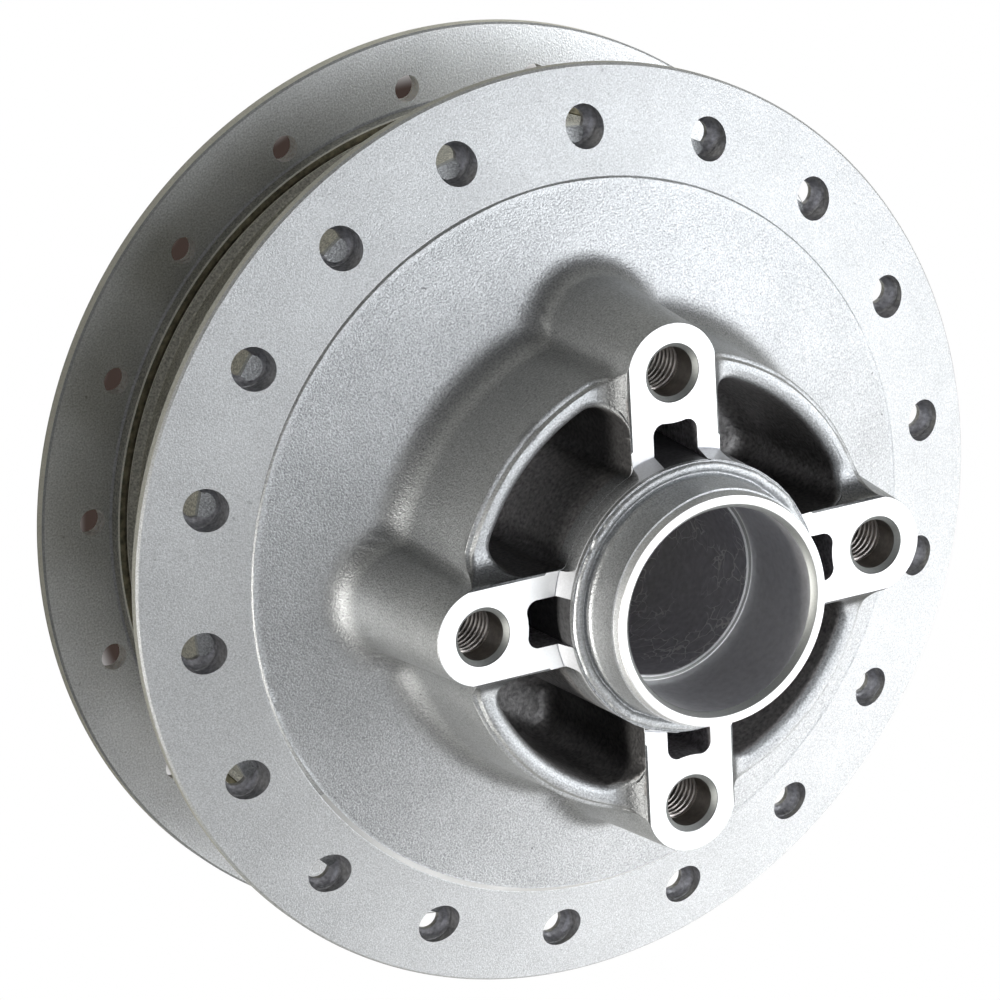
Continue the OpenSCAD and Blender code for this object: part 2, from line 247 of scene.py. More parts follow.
def wallRadius(phi, z, off=0.0):
    # Radius of the outer wall at an angle from the nearest arm: the cup's circle and the
    # column's circle, both grown by off, joined by a circle that touches them from outside
    phi = np.abs(phi)
    cup = hub.cupR + (hub.rimZ - z) * tangent(hub.cupDraft) + off
    column = hub.columnR + (hub.padZ - z) * tangent(hub.columnDraft) + off
    fillet = np.maximum(hub.cornerRound - hub.cornerLoss * off, hub.cornerLeast)
    a, b, c = cup + fillet, column + fillet, hub.boltR
    turn = np.arccos((a * a + c * c - b * b) / (2 * a * c))
    touchX = c + column * (a * np.cos(turn) - c) / b
    touchY = column * a * np.sin(turn) / b
    touch = np.arctan2(touchY, touchX)
    onColumn = c * np.cos(phi) + np.sqrt(np.maximum(column**2 - (c * np.sin(phi)) ** 2, 0))
    inCorner = a * np.cos(phi - turn) - np.sqrt(
        np.maximum(fillet**2 - (a * np.sin(phi - turn)) ** 2, 0))
    return np.where(phi <= touch, onColumn, np.where(phi < turn, inCorner, cup))


def rimRise(y):
    # Height of the wall's top at a distance from the arm's middle line: the pad on the arm,
    # a hollow quarter round beside it, then the cup's level rim
    rise = hub.padZ - hub.rimZ
    off = np.clip(hub.columnR + rise - y, 0, rise)
    hollow = rise - np.sqrt(np.maximum(rise**2 - off**2, 0))
    ramp = rise * (off / rise) ** 1.5
    slope = hub.saddleHollow * hollow + (1 - hub.saddleHollow) * ramp
    return np.where(y <= hub.columnR, hub.padZ, hub.rimZ + slope)


def rimRounding(y, full):
    # Rounding of the wall's top edge, from a machined edge on the pad to full on the rim
    return hub.edge + (full - hub.edge) * smooth((y - hub.columnR) / hub.saddleFade)


# Unevenness of the cast shoulder and rim round the hub, in mm: a sum of slow waves
waves = np.random.default_rng(5)
waveCounts = np.array([3, 5, 7, 9, 12, 16, 21])
wavePhases = waves.uniform(0, 2 * math.pi, len(waveCounts))
waveHeights = 0.5 * waves.uniform(0.5, 1.0, len(waveCounts)) / np.sqrt(waveCounts)


def uneven(theta, shift=0.0):
    turns = np.asarray(theta)[..., None] * waveCounts + wavePhases + shift
    return (np.sin(turns) * waveHeights).sum(-1)


# Rows and columns of the casting's grid
gridSteps = {"pad": 17, "riser": 17, "rim": 26, "cone": 15, "foot": 19, "wall": 13, "top": 6,
             "seat": 8}


def columnAngles():
    # Angles from the arm's middle to halfway to the next, packed where the rim rises
    fine = np.linspace(0, halfSector, 4001)
    y = wallRadius(fine, hub.padZ) * np.sin(fine)
    armEdge = np.interp(hub.columnR, y, fine)
    rise = hub.padZ - hub.rimZ
    lift = np.radians(np.linspace(0, 90, gridSteps["riser"]))
    risers = np.interp(hub.columnR + rise * (1 - np.cos(lift)), y, fine)
    half = np.concatenate([
        np.linspace(0, armEdge, gridSteps["pad"])[:-1], risers,
        np.linspace(risers[-1], halfSector, gridSteps["rim"])[1:]])
    half[-1] = halfSector
    return np.concatenate([-half[:0:-1], half[:-1]])


def blurRound(values, columns):
    # Softens a value that runs round the hub, over about the given number of columns
    n = len(values)
    k = np.exp(-0.5 * (np.arange(-n // 2, n // 2) / columns) ** 2)
    k = np.roll(k / k.sum(), -(n // 2))
    return np.real(np.fft.ifft(np.fft.fft(values) * np.fft.fft(k)))


# The cast surface's details, in mm and degrees
castDetails = {
    "footFrom": 7, "footOver": 17,     # angle from the arm where the foot fillet grows, and how far
    "rootZ": 47.5, "coneRun": 1.3,     # hidden foot of the ring's edge; edge to the plain cone
    "burr": 0.05,
    "bevel": 0.18, "bevelWave": 0.12, "bevelRange": (0.12, 0.95),
    "worn": 0.62, "wornAt": 240, "wornOver": 35,   # wider part of the bevel
    "rimWave": 0.12, "jointWave": 0.35, "rimBlend": 4,
    "wave": (0.32, 0.16), "ripple": (0.18, 0.20),  # of the shoulder, outwards and upwards
    "dip": 0.9, "dipAt": 82, "dipOver": 14,        # low place in the band's foot
    "mouth": (0.85, 1.0),              # lead-in of the bearing seat, across and down
}
cast = SimpleNamespace(**castDetails)
# Worn edge of the turned ring: share of the bevel's width inwards, share of the burr, drop
ringEdge = [(0.0, 0.0, 0.22), (0.5, 0.2, 0.11), (1.0, 0.7, 0.01)]
# Burr beside it: distance inwards, share of its height
ringBurr = [(0.08, 1.0), (0.16, 0.6), (0.24, 0.0)]
# Mould's joint round the rim's outer edge, a burr, a hollow and the crest: degrees, lift
rimJoint = [(6, 0.12), (12, 0.18), (18, 0.10), (26, -0.14), (35, -0.30), (44, -0.26),
            (54, -0.08), (64, 0.02), (78, 0.0), (90, 0.0)]
# Steps inwards over the rim's top
rimSteps = (0.8, 1.8, 3.0, 4.2)
# Tube's shoulder, a burr, a hollow, an uneven crest, a second hollow and the neck's foot:
# radius, height, share of the unevenness
shoulder = [
    (23.50, 88.05, 0.2), (23.56, 88.35, 0.4), (23.50, 88.60, 0.5), (23.40, 88.62, 0.7),
    (23.28, 88.50, 0.9), (23.16, 88.52, 1.0), (23.04, 88.74, 1.0), (22.86, 88.96, 1.0),
    (22.60, 89.08, 1.0), (22.30, 89.12, 1.0), (22.00, 89.10, 1.0), (21.76, 89.00, 1.0),
    (21.58, 88.76, 1.0), (21.42, 88.56, 0.9), (21.22, 88.58, 0.7), (21.02, 88.80, 0.5),
    (20.92, 89.10, 0.3), (20.94, 89.40, 0.2), (20.92, 89.65, 0.2), (20.80, 89.90, 0.1),
    (20.68, 90.15, 0.1), (20.62, 90.60, 0.0), (20.52, 92.00, 0.0),
]


def bearingProfile():
    # Band, end face, lead-in, seat, its ledge with a fine groove, and the hidden inner wall
    mouth = (hub.seatR + cast.mouth[0], hub.endZ)
    seatTop = (hub.seatR, hub.endZ - cast.mouth[1])
    seatFoot = (hub.seatR, hub.seatZ)
    profile = roundCorner((hub.bandFootR, hub.bandZ), (hub.bandR, hub.endZ), mouth, 0.15, 3)
    profile += roundCorner((hub.bandR, hub.endZ), mouth, seatTop, 0.1, 2)
    profile += roundCorner(mouth, seatTop, seatFoot, 0.3, 2)
    heights = np.linspace(hub.endZ - 2, hub.seatZ + 0.5, gridSteps["seat"])
    profile += [(hub.seatR, z) for z in heights]
    profile += roundCorner(seatTop, seatFoot, (hub.boreR, hub.seatZ), 0.15, 2)
    profile += [(hub.boreR + out, hub.seatZ - down) for out, down in
                ((0.35, 0), (0.30, 0.06), (0.22, 0), (0.15, 0), (0, 0.15))]
    return profile + [(hub.boreR, hub.joinZ), (hub.joinR, hub.joinZ), (hub.joinR, 50)]


def castingGrid():
    sector = columnAngles()
    phi = np.tile(sector, 4)
    arm = np.repeat(armTurns, len(sector))
    theta = phi + arm
    rows = []

    def add(r, z, angle=phi):
        # One row of points, from radii and heights
        r, z = np.broadcast_to(r, phi.shape), np.broadcast_to(z, phi.shape)
        rows.append(np.stack([r * np.cos(angle + arm), r * np.sin(angle + arm), z], -1))

    # Where the wall meets the cone, found in a few rounds from a guess
    z0 = np.full(phi.shape, 56.0)
    for _ in range(6):
        z0 = castZ(wallRadius(phi, z0))
    # How squarely the wall faces outwards there, read a little outside it, and how it leans
    nudge, off = 0.004, 3.0
    beside = wallRadius(phi, z0) + off
    turnRate = (wallRadius(phi + nudge, z0, off) - wallRadius(phi - nudge, z0, off)) / (2 * nudge)
    facing = blurRound(beside / np.sqrt(beside**2 + turnRate**2), 2.0)
    lean = (wallRadius(phi, z0 + 1) - wallRadius(phi, z0 - 1)) / 2 * facing
    toCup = smooth((np.degrees(np.abs(phi)) - cast.footFrom) / cast.footOver)
    rho = hub.columnFoot + (hub.cupFoot - hub.columnFoot) * toCup

    # Foot fillet: the arc between the wall's line and the cone's line, in a plane square to
    # the wall
    base = tangent(hub.slope) * facing
    up = np.stack([lean, np.ones_like(lean)], -1)
    out = np.stack([np.ones_like(base), -base], -1)
    up /= np.linalg.norm(up, axis=-1, keepdims=True)
    out /= np.linalg.norm(out, axis=-1, keepdims=True)
    half = np.arccos((up * out).sum(-1)) / 2
    both = up + out
    centre = both / np.linalg.norm(both, axis=-1, keepdims=True) * (rho / np.sin(half))[:, None]
    reach = (rho / np.tan(half))[:, None]
    low, high = out * reach - centre, up * reach - centre
    a0 = np.arctan2(low[:, 1], low[:, 0])
    a1 = np.arctan2(high[:, 1], high[:, 0])
    a1 = a0 + (a1 - a0 + math.pi) % (2 * math.pi) - math.pi
    footR = wallRadius(phi, z0, (out * reach)[:, 0])

    # Turned ring's edge: a bevel up from the ring, then a burr on the cast face
    add(hub.ringR + 0.06, cast.rootZ)
    add(hub.ringR + 0.05, castZ(hub.ringR) - hub.step - 0.12)
    burr = cast.burr * (1.2 + uneven(theta * 3, 3.0))
    wide = np.exp(-(((np.degrees(theta) - cast.wornAt) / cast.wornOver) ** 2))
    bevel = cast.bevel + cast.worn * wide + cast.bevelWave * uneven(theta * 2, 3.0)
    bevel = np.clip(bevel, *cast.bevelRange)
    for inside, share, drop in ringEdge:
        r = hub.ringR - inside * bevel
        add(r, castZ(r) + burr * share - drop)
    for inside, share in ringBurr:
        r = hub.ringR - bevel - inside
        add(r, castZ(r) + burr * share)

    # Cone, then the foot fillet
    coneEdge = hub.ringR - cast.coneRun
    for t in np.linspace(0, 1, gridSteps["cone"])[:-1]:
        r = coneEdge + (footR - coneEdge) * t
        add(r, castZ(r))
    for t in np.linspace(0, 1, gridSteps["foot"]):
        a = a0 + (a1 - a0) * t
        s = centre[:, 0] + rho * np.cos(a)
        rise = centre[:, 1] + rho * np.sin(a) + base * s
        r = wallRadius(phi, z0, s)
        z = castZ(r) + rise
        onWall = wallRadius(phi, z0, lean * (z - z0))
        r = r + (wallRadius(phi, z) - onWall) * t**3
        add(r, z)
    zFoot = z

    # Upright wall to its top, whose height follows the saddle beside each arm
    top = wallRadius(phi, hub.padZ - 2)
    y = top * np.abs(np.sin(phi))
    for _ in range(3):
        rounding = rimRounding(y, hub.rimRound)
        y = (top - rounding) * np.abs(np.sin(phi))
        onRim = smooth((y - hub.columnR) / cast.rimBlend)
        rimTop = rimRise(y) + cast.rimWave * uneven(theta, 2.0) * onRim
    for t in np.linspace(0, 1, gridSteps["wall"])[1:]:
        z = zFoot + (rimTop - rounding - zFoot) * t
        add(wallRadius(phi, z), z)
    edgeR = wallRadius(phi, rimTop - rounding)
    joint = onRim * (1 + cast.jointWave * uneven(theta * 2, 1.0))
    for angle, lift in rimJoint:
        t = math.radians(angle)
        out = rounding + lift * joint
        add(edgeR - rounding + out * math.cos(t), rimTop - rounding + out * math.sin(t))

    # Top, inwards along lines that stay parallel to the arm beside it
    startR = edgeR - rounding
    startY = startR * np.sin(np.abs(phi))
    sideY = hub.columnR + hub.padZ - hub.rimZ
    startTurn = np.arcsin(sideY / startR)
    share = np.clip((np.abs(phi) - startTurn) / (halfSector - startTurn), 0, 1)

    def inward(r):
        alongArm = np.arcsin(np.clip(startY / r, -1, 1))
        sideTurn = np.arcsin(np.minimum(sideY / r, 1))
        between = sideTurn + (halfSector - sideTurn) * share
        return np.sign(phi) * np.where(startY <= sideY, alongArm, between)

    for step in rimSteps:
        r = startR - step
        add(r, rimTop, inward(r))
    for t in np.linspace(0, 1, gridSteps["top"])[1:]:
        r = startR - rimSteps[-1] + (hub.facingR - startR + rimSteps[-1]) * t
        add(r, rimTop + (hub.padZ - rimTop) * t, inward(r))
    packed = inward(np.full(phi.shape, hub.facingR))

    # Facing cone inside the pads, shoulder, and neck up to the machined band
    for r, z in ((hub.facingR - 0.10, hub.padZ - 0.12), (hub.facingR - 0.22, hub.padZ - 0.02),
                 (hub.facingR - 0.3, hub.padZ + 0.25), (hub.facingTopR, hub.facingTopZ)):
        add(r, z, packed)
    wave, ripple = uneven(theta, 1.0), uneven(theta * 2.6, 2.0)
    for r, z, share in shoulder:
        add(r + share * (cast.wave[0] * wave + cast.ripple[0] * ripple),
            z + share * (cast.wave[1] * wave + cast.ripple[1] * ripple), packed)
    dip = cast.dip * np.exp(-(((np.degrees(theta) - cast.dipAt) / cast.dipOver) ** 2))
    add(hub.bandFootR + 0.15, hub.bandZ - 1.0, packed)
    add(hub.bandFootR + 0.25 + 0.06 * dip, hub.bandZ - 0.1 - dip, packed)
    add(hub.bandFootR, hub.bandZ - dip, packed)
    for r, z in bearingProfile():
        add(r, z, packed)
    return np.stack(rows)


pocketSizes = {
    "floorRound": 2.9, "corner": 4.2,
    "inner": 3.0, "innerTop": 1.4, "innerOver": 12,  # corner at the tube, tighter near the top
    "flankDraft": 0.02,
    "columns": (22, 12, 10, 10, 14),  # outer wall, outer corner, flank, inner corner, tube
}


def pocketCutter(name, turn):
    # Closed loft: plan outlines of a pocket, stacked from its rounded floor to above the rim
    size = pocketSizes
    kind = np.repeat(np.arange(5), size["columns"])
    along = np.concatenate([np.arange(n) / n for n in size["columns"]])
    outside, flankRun, innerCorner, atTube = kind <= 1, kind == 2, kind == 3, kind == 4

    def points(z, inset):
        # Half an outline at heights z, drawn in by inset, from the middle of the outer wall to
        # the middle of the tube's wall
        z, inset = np.broadcast_arrays(z, inset)
        outer = (hub.cupR - hub.cupWall
                 - (hub.rimZ - np.minimum(z, hub.rimZ)) * tangent(hub.cupDraft) - inset)
        tube = hub.lipR + np.maximum(hub.facingTopZ - z, 0) * tangent(hub.tubeDraft) + inset
        flank = hub.columnR + (hub.padZ - np.minimum(z, hub.padZ)) * size["flankDraft"] + inset
        below = np.clip((hub.padZ - z) / size["innerOver"], 0, 1)
        tight = size["innerTop"] + (size["inner"] - size["innerTop"]) * below
        outerRound, innerRound = size["corner"] - inset, np.maximum(tight - inset, 0.05)
        outerY, innerY = flank + outerRound, flank + innerRound
        outerX = np.sqrt((outer - outerRound) ** 2 - outerY**2)
        innerX = np.sqrt((tube + innerRound) ** 2 - innerY**2)
        a1, a2 = np.arctan2(outerY, outerX), np.arctan2(innerY, innerX)

        def arc(x, y, radius, first, last):
            a = first + (last - first) * along
            return np.stack([x + radius * np.cos(a), y + radius * np.sin(a)])

        return np.select([kind == k for k in range(5)], [
            arc(0, 0, outer, halfSector, a1),
            arc(outerX, outerY, outerRound, a1, -math.pi / 2),
            np.stack([outerX + (innerX - outerX) * along, flank + 0 * along]),
            arc(innerX, innerY, innerRound, -math.pi / 2, a2 - math.pi),
            arc(0, 0, tube, a2, halfSector)])

    # How much each column flares: widely over the rim, hardly over the pad, not at the tube
    x, y = points(hub.rimZ, 0.0)
    roundRim = np.where(outside, rimRounding(y, hub.rimInside), hub.edge)
    stopZ = np.where(outside, rimRise(y) - roundRim, hub.padZ - hub.edge)
    reach = np.select([innerCorner, atTube],
                      [hub.edge * (1 - 0.9 * smooth(along)), 0.1 * hub.edge], roundRim)
    # Which way it flares: away from the pocket's middle, turning sideways round the corners
    sideways = np.array([0.0, -1.0])
    away = np.stack([x, y], -1) / np.hypot(x, y)[:, None]
    towards = np.where((innerCorner | atTube)[:, None], -away, away)
    blend = np.select([kind == 1, innerCorner], [smooth(along), 1 - smooth(along)])[:, None]
    flare = np.where(flankRun[:, None], sideways, towards * (1 - blend) + sideways * blend)

    rows = []
    floorRound = size["floorRound"]
    for t in np.radians(np.linspace(0, 90, 9)):
        z = hub.floorZ + floorRound * (1 - math.cos(t))
        rows.append((*points(z, floorRound * (1 - math.sin(t))), np.full(len(kind), z)))
    base = hub.floorZ + floorRound
    for t in np.linspace(0, 1, 11)[1:]:
        z = base + (stopZ - base) * t
        rows.append((*points(z, 0.0), z))
    x, y = points(stopZ, 0.0)
    # The rounding ends on the saddle, which is higher nearer the arm
    climb = np.where(outside, rimRise(y + flare[:, 1] * reach) - stopZ, reach)
    for t in np.radians(np.linspace(0, 90, 9)[1:]):
        push = reach * (1 - math.cos(t))
        rows.append((x + flare[:, 0] * push, y + flare[:, 1] * push, stopZ + climb * math.sin(t)))
    rows.append((*rows[-1][:2], np.full(len(kind), float(hub.clearZ))))

    # The other half is the mirror picture in the line at 45 degrees
    halfPlan = np.array([np.stack(row, -1) for row in rows])
    last = halfPlan[:, -1:]
    r = np.hypot(last[..., 0], last[..., 1])
    tubeMiddle = np.stack([*onCircle(r, halfSector), last[..., 2]], -1)
    mirrored = halfPlan[:, :0:-1, [1, 0, 2]]
    grid = np.concatenate([halfPlan, tubeMiddle, mirrored], 1)
    return meshObject(name, turned(grid, turn), closeRows=False, caps=True)


windowSizes = {"halfWidth": 4.2, "endX": 29.6, "corner": 2.0, "swell": 0.2, "floor": 1.5}


def windowCutter(name, turn):
    # Closed loft of a rounded rectangle whose outer edge swells inwards
    half, endX = windowSizes["halfWidth"], windowSizes["endX"]
    corner, swell = windowSizes["corner"], windowSizes["swell"]
    top = [(endX - corner + corner * math.sin(t), half - corner + corner * math.cos(t))
           for t in np.linspace(0, math.pi / 2, 9)]
    ys = np.linspace(half - corner, corner - half, 13)[1:-1]
    edge = [(endX - swell * (1 - (y / (half - corner)) ** 2), y) for y in ys]
    bottom = [(x, -y) for x, y in top[::-1]]
    rows = []
    for z in (hub.floorZ + windowSizes["floor"], 60, 70, 80, hub.facingTopZ, hub.shoulderZ - 0.5,
              hub.clearZ):
        tube = hub.lipR + max(hub.facingTopZ - z, 0) * tangent(hub.tubeDraft)
        back = [(math.sqrt(tube**2 - y**2), y) for y in np.linspace(-half, half, 9)]
        rows.append([(x, y, z) for x, y in top + edge + bottom + back])
    return meshObject(name, turned(np.array(rows), turn), closeRows=False, caps=True)


def makeCasting():
    piece = meshObject("hub_casting", castingGrid())
    cutters = []
    hole = [(hub.holeR, hub.holeFloorZ), (hub.holeR, hub.padZ - 0.1), (hub.holeMouthR, hub.padZ),
            (hub.holeMouthR, 90)]
    for turn in armTurns:
        cutters.append(pocketCutter("pocket_cutter", turn))
        cutters.append(windowCutter("window_cutter", turn))
        cutters.append(cylinderCutter("bolt_cutter", onCircle(hub.boltR, turn), hole, 64))
    cutAway(piece, cutters)
    return piece


casting = makeCasting()


# The spoke flange: the turned ring outside the cast cone, with its stepped holes
spokeSizes = {
    "count": 18, "phase": 5.0, "rimR": 81.5, "under": 42.2, "chamfer": 0.35,
    "insideR": 66, "insideZ": 45, "edgeZ": 47.0,  # where it meets the barrel and the cone
    "grooveWidth": 0.18, "grooveDepth": 0.08,     # fine line at the ring's inner edge
}
# Stepped spoke hole, from below: radius, height
spokeHole = [(2.3, 40), (2.3, 43.2), (2.55, 43.45), (2.85, 43.6), (3.2, 44.0), (3.5, 44.5),
             (3.6, 45.0), (3.7, 45.1), (3.7, 55)]


def makeSpokeFlange():
    size = spokeSizes
    edge, rim, under, chamfer = hub.ringR, size["rimR"], size["under"], size["chamfer"]
    grooveZ, start = ringZ(edge) - size["grooveDepth"], edge + size["grooveWidth"]
    faceRadii = [start, start + 0.1, start + 0.3, *np.linspace(start, rim - chamfer, 12)[1:]]
    profile = [(edge, size["edgeZ"]), (edge, grooveZ), (edge + 0.10, grooveZ)]
    profile += [(r, ringZ(r)) for r in faceRadii]
    profile += [(rim, ringZ(rim) - chamfer), (rim, under + chamfer), (rim - chamfer, under)]
    profile += [(size["insideR"], under), (size["insideR"], size["insideZ"])]
    piece = revolved("spoke_flange", profile, np.arange(360))
    cutAway(piece, holeCutters("spoke_cutter", size, hub.pitchR, spokeHole))
    return piece


spokeFlange = makeSpokeFlange()


# The drum side: barrel, far flange, lip, braking surface, web and central boss
drumSizes = {"count": 18, "phase": 15.0, "circle": 72.1, "hole": 2.35}
# Its section: radius, height, rounding
drumCorners = [
    # Mouth and far flange
    (62.5, 0, 0.35), (62.5, 5, 1.0), (81.15, 5, 0), (81.5, 5.35, 0), (81.5, 7.35, 0),
    (81.15, 7.7, 0), (68.85, 7.7, 0),
    # Collar, rough band of the mould's joint, and barrel
    (68.5, 8.05, 0), (68.5, 10.5, 0.25), (67.3, 10.5, 0), (67.0, 10.2, 0), (66.85, 10.3, 0),
    (66.95, 10.7, 0), (67.1, 10.95, 0), (67.1, 11.25, 0), (66.9, 11.6, 0), (66.45, 11.9, 0),
    (66, 12.5, 0.5), (66, 42.2, 4.0),
    # Web under the cone, and core of the tube
    (70.5, 42.2, 0), (70.5, 43.2, 0), (64, 46.5, 0), (63.2, 49.0, 0), (hub.joinR, 51.8, 0),
    (hub.joinR, hub.joinZ, 0), (hub.boreR, hub.joinZ, 0), (hub.boreR, 28.0, 0), (17.2, 28, 0),
    # Second bearing seat and boss
    (hub.seatR, 28.2, 0), (hub.seatR, 14.6, 0), (18.1, 14.0, 0), (25, 14, 1.0),
    # Drum's space, braking surface and lip with its sealing step
    (26.13, 46.5, 4.0), (55, 46.5, 3.0), (55, 3.5, 0), (56, 2.5, 0), (58, 2.5, 0), (58, 0, 0.3),
]


def makeDrum():
    piece = revolved("drum_side", outline(drumCorners), np.arange(360))
    hole = [(drumSizes["hole"], 3), (drumSizes["hole"], 10)]
    cutAway(piece, holeCutters("far_cutter", drumSizes, drumSizes["circle"], hole))
    return piece


drumSide = makeDrum()


# Threads: a sleeve in each bolt hole with a plain mouth, and a ridge wound below it
threadSizes = {
    "rootR": 4.97, "crestR": 4.25, "pitch": 1.25, "length": 23.6, "start": 5.6,
    "footWidth": 1.1, "crestWidth": 0.35, "buriedR": 5.15, "fadeR": 5.1, "stepsPerTurn": 64,
    "sleeveR": 5.35, "mouthR": 5.05, "chamfer": 0.8, "sink": 0.06,
}


def readVectors(items, field):
    # What a mesh holds for its points or faces, as rows of three values
    values = np.empty(len(items) * 3)
    items.foreach_get(field, values)
    return values.reshape(-1, 3)


def makeThread(number):
    size = threadSizes
    root, crest, buried = size["rootR"], size["crestR"], size["buriedR"]
    top, bottom = hub.padZ - size["sink"], hub.padZ - size["length"]
    start = hub.padZ - size["start"]
    profile = [(size["sleeveR"], bottom), (size["sleeveR"], top), (size["mouthR"], top),
               (crest, top - size["chamfer"]), (crest, start), (root, start - 0.5), (root, bottom)]
    sleeve = revolved(f"thread_sleeve_{number}", profile, np.arange(0, 360, 5))
    # The ridge's section is a flat-topped V; it fades in over the first turn and out over the
    # last half
    first, last = bottom + 0.6, start + 0.7
    turns = (last - first) / size["pitch"]
    along = np.linspace(0, 1, int(turns * size["stepsPerTurn"]))[:, None]
    a = along * turns * 2 * math.pi
    z = first + along * turns * size["pitch"]
    foot, tip = size["footWidth"] / 2, size["crestWidth"] / 2
    r = np.array([buried, root, crest, crest, root, buried])[None, :]
    dz = np.array([-foot, -foot, -tip, tip, foot, foot])[None, :]
    fade = smooth(along * turns) * smooth((1 - along) * turns * 2)
    r = np.maximum(r, size["fadeR"] - (size["fadeR"] - crest) * fade)
    ridge = meshObject(f"thread_{number}", np.stack([r * np.cos(a), r * np.sin(a), z + dz], -1),
                       closeRows=False, caps=True)
    at = np.array([*onCircle(hub.boltR, armTurns[number]), 0])
    for piece in (sleeve, ridge):
        points = readVectors(piece.data.vertices, "co") + at * mm
        piece.data.vertices.foreach_set("co", points.ravel())
        piece.data.update()
    return sleeve, ridge


threads = [makeThread(k) for k in range(4)]
print("meshes made")


# Materials: each finish is built from noise on object coordinates; depth is in mm, and metal
# is 1 where it isn't given
finishes = {
    # Cast skin and pocket skin carry the painted shade that the mesh holds
    "castSkin": {"colour": (0.44, 0.45, 0.46), "rough": 0.46, "metal": 0.95, "grain": 3000,
        "depth": 0.10, "mottle": 0.24, "pits": 0.5, "paintedShaded": True},
    "barrelSkin": {"colour": (0.59, 0.58, 0.52), "rough": 0.50, "metal": 0.95, "grain": 2400,
        "depth": 0.12, "mottle": 0.30, "pits": 0.5},
    "pocketSkin": {"colour": (0.43, 0.42, 0.42), "rough": 0.5, "grain": 1500,
        "depth": 0.10, "mottle": 0.30, "paintedShaded": True},
    # Near-black copy of the cast skin: painted shade
    "flankPaintedShade": {"colour": (0.13, 0.13, 0.135), "rough": 0.6, "grain": 1500,
        "depth": 0.06, "mottle": 0.22},
    # Lighter copy of the pocket skin: painted light
    "windowPaintedLight": {"colour": (0.60, 0.58, 0.60), "rough": 0.5, "grain": 1500,
        "depth": 0.08, "mottle": 0.3},
    "turnedFace": {"colour": (0.53, 0.54, 0.55), "rough": 0.55, "metal": 0.86, "grain": 3400,
        "depth": 0.06, "mottle": 0.18, "pits": 0.3},
    # Near-white matte finish: painted light
    "paintedLightRim": {"colour": (0.97, 0.96, 0.86), "rough": 0.6, "metal": 0.0, "grain": 3000,
        "depth": 0.03, "mottle": 0.1},
    "rimFace": {"colour": (0.52, 0.52, 0.48), "rough": 0.6, "metal": 0.5, "grain": 3000,
        "depth": 0.05, "mottle": 0.15},
    "farFace": {"colour": (0.66, 0.67, 0.68), "rough": 0.46, "grain": 3000,
        "depth": 0.05, "mottle": 0.2, "pits": 0.4},
    "facingFace": {"colour": (0.38, 0.39, 0.38), "rough": 0.5, "grain": 3000,
        "depth": 0.01, "mottle": 0.05},
    # Lighter, half matte copy of the machined finish: painted light
    "conePaintedLight": {"colour": (0.66, 0.67, 0.70), "rough": 0.5, "metal": 0.4, "grain": 3000,
        "depth": 0.01, "mottle": 0.05},
    "milledFace": {"colour": (0.84, 0.84, 0.84), "rough": 0.42, "grain": 3000,
        "depth": 0.004, "mottle": 0.02},
    "boredWall": {"colour": (0.90, 0.90, 0.92), "rough": 0.46, "grain": 900,
        "depth": 0.003, "mottle": 0.06},
    "deepBore": {"colour": (0.66, 0.65, 0.68), "rough": 0.5, "grain": 900,
        "depth": 0.003, "mottle": 0.10, "crazing": 1.8},
    "drilledWall": {"colour": (0.42, 0.42, 0.44), "rough": 0.42, "grain": 1500,
        "depth": 0.05, "mottle": 0.25},
    # Near-white matte finish: painted light
    "farDrilledPaintedLight": {"colour": (0.95, 0.93, 0.90), "rough": 0.6, "metal": 0.0, "grain": 1500,
        "depth": 0.05, "mottle": 0.25},
    "threadWall": {"colour": (0.34, 0.32, 0.30), "rough": 0.42, "grain": 1500,
        "depth": 0.004, "mottle": 0.12},
    # Lighter copy of the thread's wall: painted highlight
    "threadRidgePaintedLight": {"colour": (0.62, 0.58, 0.55), "rough": 0.28, "grain": 1500,
        "depth": 0.002, "mottle": 0.08},
    "roughBand": {"colour": (0.24, 0.22, 0.15), "rough": 0.7, "metal": 0.4, "grain": 900,
        "depth": 0.25, "mottle": 0.35},
    "brakeFace": {"colour": (0.45, 0.45, 0.46), "rough": 0.35, "grain": 1200,
        "depth": 0.006, "mottle": 0.05},
}


# Noise of all finishes: its scales, and the values between which each one works
noises = {
    "broad": 90.0, "broadShare": 0.2, "shadeRange": (0.35, 0.85), "swing": 1.5,
    "pit": 750.0, "pitRange": (0.77, 0.82),
    "cell": 330.0, "bend": 260.0, "bendBy": 0.004, "lineRange": (0.0, 0.035),
    "patch": 70.0, "patchRange": (0.47, 0.58),
}


def addNode(material, kind, inputs, operation=None):
    # A node whose inputs are values or other nodes' outputs
    tree = material.node_tree
    node = tree.nodes.new("ShaderNode" + kind)
    if operation:
        node.operation = operation
    for key, value in inputs.items():
        if isinstance(value, bpy.types.NodeSocket):
            tree.links.new(value, node.inputs[key])
        else:
            node.inputs[key].default_value = value
    return node


def newMaterial(name):
    material = bpy.data.materials.new(name)
    material.use_nodes = True
    material.node_tree.nodes.clear()
    shader = addNode(material, "BsdfPrincipled", {})
    addNode(material, "OutputMaterial", {"Surface": shader.outputs[0]})
    return material, shader


